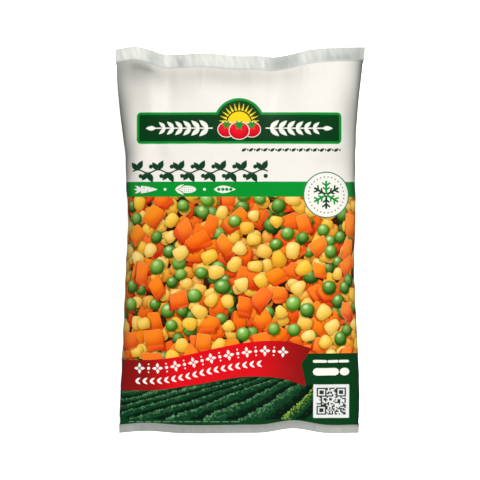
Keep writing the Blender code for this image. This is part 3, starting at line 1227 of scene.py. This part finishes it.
def film_shade(points):
    """Painted shade and light: how much red, green and blue each point keeps in the film's dents,
    folds and seals.
    """
    u, v = points.T
    tone = np.ones(len(points))
    in_head, in_foot = v > PRINT_START + 0.01, v < PRINT_END - 0.01
    free = ~in_head & ~in_foot
    for spots, shown in ((FILM_SPOTS, free), (SEAL_SPOTS, in_head), (FOOT_SPOTS, in_foot)):
        for x, y, across, along, strength in spots:
            near = np.exp(-(((u - x) / across) ** 2) - ((v - y) / along) ** 2)
            tone = tone * np.where(shown, 1 - strength * near, 1)
    depth = np.where(free, 0, np.where(in_head, STREAK_DEPTH, STREAK_DEPTH / 2))
    tone = tone * (1 + depth * ripple(STREAKS, u, v))
    above = ease((v - STRIPE_TOP + 6) / 12)
    for side, (high, low) in FOLD_SHADES.items():
        inward = FOLD_AT - side * u
        on_front = between(fold_shade(inward, low), fold_shade(inward, high), above)
        beside = np.where(inward >= 0, on_front, fold_shade(inward, FOLD_SHADE_BACK))
        tone = tone * np.where(free, beside, 1)
    return tone[:, None] ** SHADE_TINT


def fold_shade(inward, shade):
    reach, loss, falloff = shade
    return 1 - loss * np.clip(1 - np.abs(inward) / reach, 0, 1) ** falloff


def contact_shade(points, triangles, shown):
    """Shade on the pictured things where others lie on them, deepest below the upper ones."""
    all_groups = np.array([patch.group for patch in PRINT])
    pictured = np.nonzero(all_groups)[0][-1]
    centres = np.zeros((all_groups.max() + 1, 2))
    for patch in PRINT:
        if patch.group:
            centres[patch.group] = patch.outline.mean(axis=0)
    groups = all_groups[shown]
    highest = np.zeros(len(points), int)
    np.maximum.at(highest, triangles, groups[:, None])
    away = points - centres[highest]
    away /= np.maximum(np.hypot(*away.T), 1e-9)[:, None]
    facing = away @ np.array(LIGHT_IN_PICTURE[:2]) / hypot(*LIGHT_IN_PICTURE[:2])
    depth = between(*CONTACT_DEPTH, ease(0.5 - 0.7 * facing))
    covered = (highest[triangles] > groups[:, None]) & (shown <= pictured)[:, None]
    return np.where(covered, 1 - depth[triangles], 1.0)


def paint(points, triangles, shown):
    """For each corner of each triangle its ink and its place on the round form it pictures."""
    inks = np.zeros((len(triangles), 3, 4))
    forms = np.zeros((len(triangles), 3, 4))
    inks[:, :, 3] = 1
    order = np.argsort(shown, kind="stable")
    stops = np.searchsorted(shown[order], np.arange(len(PRINT) + 1))
    for number, patch in enumerate(PRINT):
        mine = order[stops[number]:stops[number + 1]]
        corners = points[triangles[mine]].reshape(-1, 2)
        colours = patch.ink
        if callable(colours):
            colours = colours(corners).reshape(-1, 3, 3)
        inks[mine, :, :3] = colours
        if patch.form:
            forms[mine, :, :2] = patch.form(corners).reshape(-1, 3, 2)
            forms[mine, :, 2] = patch.depth
            forms[mine, :, 3] = patch.gleam
    # The film's painted shade and light.
    inks[:, :, :3] *= film_shade(points)[triangles]
    inks[:, :, :3] *= contact_shade(points, triangles, shown)[:, :, None]
    return inks, forms


def end_strip(points, at):
    """Quads that close the two films of a seal along a cut edge, as numbers of points."""
    edge = np.nonzero(np.abs(points[:, 1] - at) < 0.01)[0]
    edge = edge[np.argsort(points[edge, 0])]
    quarter = len(edge) // 4
    ahead = edge[quarter:-quarter]
    behind = np.r_[edge[quarter::-1], edge[-2:-quarter - 2:-1]]
    quads = np.c_[ahead[:-1], ahead[1:], behind[1:], behind[:-1]]
    return quads if at > 0 else quads[:, ::-1]


def film_mesh():
    """The skin of printed film, with its normals taken from the form itself."""
    points, triangles, shown = cut_sheet()
    inks, forms = paint(points, triangles, shown)
    u, v = points.T
    places = film(u, v)
    facing = normals(film, u, v)
    middle = (places.max(axis=1) + places.min(axis=1)) / 2
    places[:2] -= middle[:2, None]
    strips = [end_strip(points, at) for at in (TOP_CUT / MM, BOTTOM_CUT / MM)]
    quads = np.concatenate(strips)
    mesh = bpy.data.meshes.new("printed_film")
    mesh.from_pydata(places.T.tolist(), [], [*triangles.tolist(), *quads.tolist()])
    outward = np.repeat([[0, 1.0, 0], [0, -1.0, 0]], [strip.size for strip in strips], axis=0)
    mesh.normals_split_custom_set(np.r_[facing.T[triangles.ravel()], outward].tolist())
    rim_ink = np.array([*SEAL_GREY, 1.0])
    for name, values, rest in (("ink", inks, rim_ink), ("form", forms, np.zeros(4))):
        attribute = mesh.color_attributes.new(name, "FLOAT_COLOR", "CORNER")
        full = np.r_[values.reshape(-1, 4), np.broadcast_to(rest, (quads.size, 4))]
        attribute.data.foreach_set("color", full.ravel())
    bake_map(mesh, points, triangles, quads)
    mesh.validate()
    return mesh


BAKE_SPAN = ROUND * 0.775
BAKE_SPARE = 0.995


def bake_map(mesh, points, triangles, quads):
    """The front of the sheet at full scale beside the two halves of the back at half scale."""
    u, v = np.moveaxis(points[triangles], 2, 0)
    middle = u.mean(axis=1)[:, None]
    ahead, right = np.abs(middle) <= FOLD_AT, middle > 0
    wide = np.where(ahead, u + FOLD_AT, np.where(right, u - FOLD_AT, u + ROUND / 2) / 2)
    wide = wide + np.where(ahead, 1, np.where(right, 2 * FOLD_AT + 3, 2.5 * FOLD_AT + 5))
    tall = (v - BOTTOM_CUT / MM) / np.where(ahead, 1, 2) + 1
    flat = np.stack([wide, tall], axis=2).reshape(-1, 2) / BAKE_SPAN
    spare = np.full((quads.size, 2), BAKE_SPARE)
    uv = mesh.uv_layers.new(name="OFBake")
    uv.uv.foreach_set("vector", np.r_[flat, spare].ravel())


def feed(tree, socket, value):
    """Give a socket a plain value, or link another node's output to it."""
    if isinstance(value, bpy.types.NodeSocket):
        tree.links.new(value, socket)
    else:
        socket.default_value = value


def add(tree, kind, settings=None, **inputs):
    """A shader node with its settings and inputs; i0, i1 and so on are inputs by number."""
    node = tree.nodes.new("ShaderNode" + kind)
    for name, value in (settings or {}).items():
        setattr(node, name, value)
    for name, value in inputs.items():
        feed(tree, node.inputs[int(name[1:]) if name[1:].isdigit() else name], value)
    return node


def maths(tree, operation, *values):
    inputs = {f"i{k}": value for k, value in enumerate(values)}
    return add(tree, "Math", {"operation": operation}, **inputs).outputs[0]


def tinted(tree, colour, tint):
    """The product of two colours."""
    settings = {"data_type": "RGBA", "blend_type": "MULTIPLY"}
    return add(tree, "Mix", settings, i0=1.0, i6=colour, i7=tint).outputs[2]


def ranged(tree, value, low, first=0.0, last=1.0):
    """A smooth change from the first level to the last while a value runs from low to 1."""
    settings = {"interpolation_type": "SMOOTHSTEP"}
    inputs = {"i0": value, "i1": low, "i2": 1.0, "i3": first, "i4": last}
    return add(tree, "MapRange", settings, **inputs).outputs[0]


PICTURED_SHADE = (0.66, 1.06)
PICTURED_GAMMA = (1.62, 0.80)


def pictured_light(tree):
    """Light and shade on the round things that the print pictures, by their place on them."""
    form = add(tree, "Attribute", {"attribute_name": "form"})
    x, y, depth = add(tree, "SeparateColor", Color=form.outputs["Color"]).outputs[:3]
    square = maths(tree, "ADD", maths(tree, "MULTIPLY", x, x), maths(tree, "MULTIPLY", y, y))
    z = maths(tree, "SQRT", maths(tree, "MAXIMUM", maths(tree, "SUBTRACT", 1.0, square), 0.0))
    lit = maths(tree, "MULTIPLY", z, LIGHT_IN_PICTURE[2])
    for value, share in ((x, LIGHT_IN_PICTURE[0]), (y, LIGHT_IN_PICTURE[1])):
        lit = maths(tree, "MULTIPLY_ADD", value, share, lit)
    shade, gamma = (
        maths(tree, "MULTIPLY_ADD", maths(tree, "SUBTRACT", level, 1.0), depth, 1.0)
        for level in (ranged(tree, lit, -0.05, *ends) for ends in (PICTURED_SHADE, PICTURED_GAMMA))
    )
    gleam = maths(tree, "MULTIPLY", ranged(tree, lit, 0.88), form.outputs["Alpha"])
    return shade, maths(tree, "SUBTRACT", gamma, gleam)


def new_material(name):
    """A material, its node tree and its shader's inputs."""
    material = bpy.data.materials.new(name)
    material.use_nodes = True
    return material, material.node_tree, material.node_tree.nodes["Principled BSDF"].inputs


def noise(tree, **inputs):
    """Noise that is fixed to the film."""
    place = add(tree, "TexCoord").outputs["Object"]
    return add(tree, "TexNoise", Vector=place, **inputs).outputs["Fac"]


def film_material():
    """Printed polyethylene film: soft satin gloss, ink a little uneven, fine crinkles."""
    material, tree, inputs = new_material("printed_film")
    printed = add(tree, "Attribute", {"attribute_name": "ink"}).outputs["Color"]
    shade, gamma = pictured_light(tree)
    colour = add(tree, "Gamma", Color=printed, Gamma=gamma).outputs[0]
    mottle = noise(tree, Scale=260.0, Detail=3.0)
    for tint in (shade, maths(tree, "MULTIPLY_ADD", mottle, 0.05, 0.975)):
        colour = tinted(tree, colour, tint)
    haze = noise(tree, Scale=38.0, Detail=2.0)
    crinkle = noise(tree, Scale=150.0, Detail=4.0, Distortion=0.6)
    bump = add(tree, "Bump", Strength=0.12, Distance=0.0004, Height=crinkle)
    feed(tree, inputs["Base Color"], colour)
    feed(tree, inputs["Roughness"], maths(tree, "MULTIPLY_ADD", haze, 0.10, 0.32))
    feed(tree, inputs["Specular IOR Level"], 0.4)
    feed(tree, inputs["Normal"], bump.outputs["Normal"])
    return material


def added(name, data):
    """A new object in the scene."""
    made = bpy.data.objects.new(name, data)
    bpy.context.scene.collection.objects.link(made)
    return made


def film_piece():
    """The film in place of the plain bag."""
    mesh = film_mesh()
    mesh.materials.append(film_material())
    piece = added("printed_film", mesh)
    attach(piece, "root")
    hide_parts("bag")


FLOOR_HALF = 3.0
FLOOR_DROP = 0.2 * MM
FLOOR_LOOK = {
    "Base Color": (0.94, 0.94, 0.94, 1), "Roughness": 0.9, "Specular IOR Level": 0.0,
    "Emission Color": (1, 1, 1, 1), "Emission Strength": 0.8,
}


def floor():
    """A plain white floor under the bag."""
    material, _, inputs = new_material("floor")
    for name, value in FLOOR_LOOK.items():
        inputs[name].default_value = value
    mesh = bpy.data.meshes.new("floor")
    corners = panel(-FLOOR_HALF, -FLOOR_HALF, FLOOR_HALF, FLOOR_HALF)
    mesh.from_pydata([(x, y, 0) for x, y in corners], [], [range(4)])
    mesh.materials.append(material)
    plane = added("floor", mesh)
    plane.location.z = -FLOOR_DROP
    plane.visible_diffuse = False
    plane.visible_glossy = False


# The square soft lights: name and place, then size, power, and whether the film mirrors them.
LAMPS = (
    ("head_light", (0.10, 1.22, 0.72), 0.5, 22.3, False),
    ("foot_light", (0.10, -1.22, 0.72), 0.5, 24.2, False),
    ("side_light_-1", (-1.20, 0, 0.16), 0.5, 2.4, False),
    ("side_light_1", (1.20, 0, 0.16), 0.5, 2.4, False),
    ("gloss_light", (0.30, 1.30, 0.62), 0.35, 1.6, True),
)
SKY_STRENGTH = 0.10


def studio():
    """Two soft lights over the ends of the bag, low ones for its sides and gloss, a dim sky."""
    for name, place, size, power, mirrored in LAMPS:
        light = bpy.data.lights.new(name, "AREA")
        light.size, light.energy = size, power
        made = added(name, light)
        made.location = place
        made.rotation_euler = (-made.location).to_track_quat("-Z", "Y").to_euler()
        made.visible_glossy = mirrored
    world = bpy.data.worlds.new("sky")
    world.use_nodes = True
    sky = world.node_tree.nodes["Background"].inputs
    sky["Color"].default_value = (1, 1, 1, 1)
    sky["Strength"].default_value = SKY_STRENGTH
    bpy.context.scene.world = world
    bpy.context.scene.view_settings.view_transform = "Standard"


PICTURE_WIDTH = 349.4 * MM
CAMERA_LENS = 300
SENSOR = 36
CAMERA_AT = (-0.4 * MM, 0.35 * MM)


def camera():
    """Straight above the bag, at the photograph's scale."""
    data = bpy.data.cameras.new("camera")
    data.lens = CAMERA_LENS
    data.sensor_width = SENSOR
    data.clip_end = 20
    made = added("camera", data)
    made.location = (*CAMERA_AT, PICTURE_WIDTH * CAMERA_LENS / SENSOR + SIDE_HEIGHT)
    bpy.context.scene.camera = made


def main():
    everything()
    film_piece()
    floor()
    studio()
    camera()


main()
